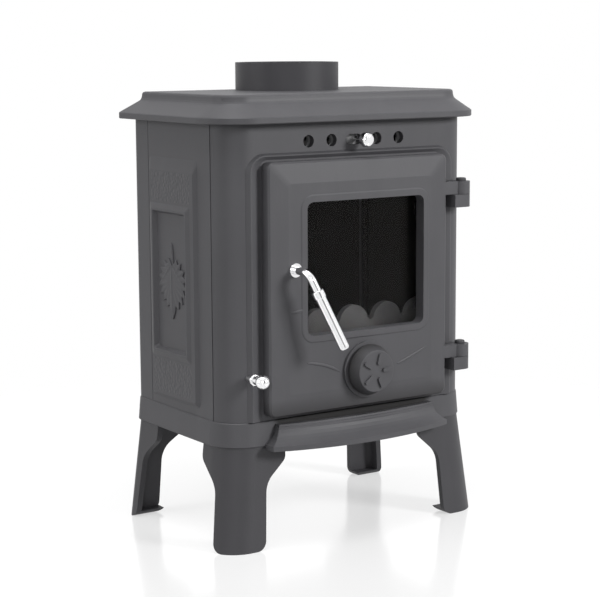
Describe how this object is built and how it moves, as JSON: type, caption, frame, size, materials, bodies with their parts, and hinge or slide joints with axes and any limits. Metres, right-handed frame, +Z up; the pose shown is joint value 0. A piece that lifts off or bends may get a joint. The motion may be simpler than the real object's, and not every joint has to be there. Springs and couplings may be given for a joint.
{
  "type": "wood stove",
  "caption": "Small free-standing cast iron wood stove in matt dark grey, with a glazed door, splayed legs, a top flue spigot and chrome handle and knobs.",
  "frame": {"origin": "on the floor, under the middle of the whole stove's outer box", "axes": "+X to the stove's right as seen from the front, front towards -Y, +Z up"},
  "size_m": [0.3686, 0.2864, 0.539],
  "materials": {
    "cast_iron_grey": "matt stove paint on sand-cast iron",
    "polished_chrome": "polished chrome plate",
    "plain_steel": "plain steel, slightly dulled",
    "bare_iron": "unpainted cast iron, dark from heat",
    "sheet_steel": "black painted sheet",
    "stove_glass": "clear heat-resistant glass, slightly smoked",
    "black_gasket": "woven flat gasket",
    "rope": "knitted glass rope"
  },
  "bodies": {
    "stove_body": {"base_ring": "cast_iron_grey", "leg_front_left": "cast_iron_grey", "leg_front_right": "cast_iron_grey", "leg_rear_left": "cast_iron_grey", "leg_rear_right": "cast_iron_grey", "ash_lip": "cast_iron_grey", "ash_lip_bolts": "plain_steel", "side_plate_left": "cast_iron_grey", "side_plate_right": "cast_iron_grey", "back_plate": "cast_iron_grey", "front_plate": "cast_iron_grey", "top_plate": "cast_iron_grey", "flue_collar": "cast_iron_grey", "collar_bolts": "plain_steel", "tie_rods": "plain_steel", "tie_nuts": "plain_steel", "hinge_pins": "plain_steel", "air_slide_rails": "plain_steel", "grate": "bare_iron", "log_fence": "cast_iron_grey", "side_liner_left": "bare_iron", "side_liner_right": "bare_iron", "back_liner": "bare_iron", "baffle_plate": "bare_iron", "ash_pan": "sheet_steel"},
    "door_leaf": {"door": "cast_iron_grey", "door_rope_seal": "rope", "door_glass": "stove_glass", "glass_gasket": "black_gasket", "glass_clips": "plain_steel", "glass_clip_screws": "plain_steel", "handle_bush": "polished_chrome", "air_wheel_stud": "plain_steel", "air_wheel_nut": "plain_steel"},
    "door_handle": {"handle_rod": "polished_chrome", "handle_ferrule": "polished_chrome", "handle_grip": "polished_chrome", "latch_tongue": "bare_iron", "latch_nut": "plain_steel"},
    "wheel_carrier": {"air_wheel_washer": "plain_steel", "air_wheel_spring": "plain_steel"},
    "wheel": {"air_wheel": "cast_iron_grey"},
    "air_shutter": {"air_slide_plate": "bare_iron", "air_slide_knob": "polished_chrome"},
    "riddle_rod": {"riddling_rod": "plain_steel", "riddling_knob": "polished_chrome"},
    "riddle_disc": {"riddling_disc": "bare_iron"}
  },
  "joints": [
    {"name": "door_swing", "type": "hinge", "parent": "stove_body", "child": "door_leaf", "pos_m": [0.148, -0.08385, 0.289], "axis": [0, 0, 1], "range_deg": [0, 110]},
    {"name": "handle_turn", "type": "hinge", "parent": "door_leaf", "child": "door_handle", "pos_m": [-0.091, -0.09135, 0.3145], "axis": [0, 1, 0], "range_deg": [0, 78]},
    {"name": "wheel_travel", "type": "slide", "parent": "door_leaf", "child": "wheel_carrier", "axis": [0, -1, 0], "range_m": [-0.00166, 0.0061], "deforming": ["air_wheel_spring"]},
    {"name": "wheel_turn", "type": "hinge", "parent": "wheel_carrier", "child": "wheel", "pos_m": [0.00625, -0.09635, 0.1935], "axis": [0, -1, 0], "range_deg": [-280, 1080]},
    {"name": "air_slide", "type": "slide", "parent": "stove_body", "child": "air_shutter", "axis": [1, 0, 0], "range_m": [-0.0129, 0.0029]},
    {"name": "riddle_pull", "type": "slide", "parent": "stove_body", "child": "riddle_rod", "axis": [0, -1, 0], "range_m": [0, 0.036]},
    {"name": "riddle_turn", "type": "hinge", "parent": "stove_body", "child": "riddle_disc", "pos_m": [0, 0.04195, 0.206], "axis": [0, 0, 1], "range_deg": [0, 14.85]}
  ],
  "couplings": [
    {"joint": "wheel_travel", "follows": "wheel_turn", "m_per_rad": 0.00031831},
    {"joint": "riddle_turn", "follows": "riddle_pull", "rad_per_m": 7.1039}
  ]
}
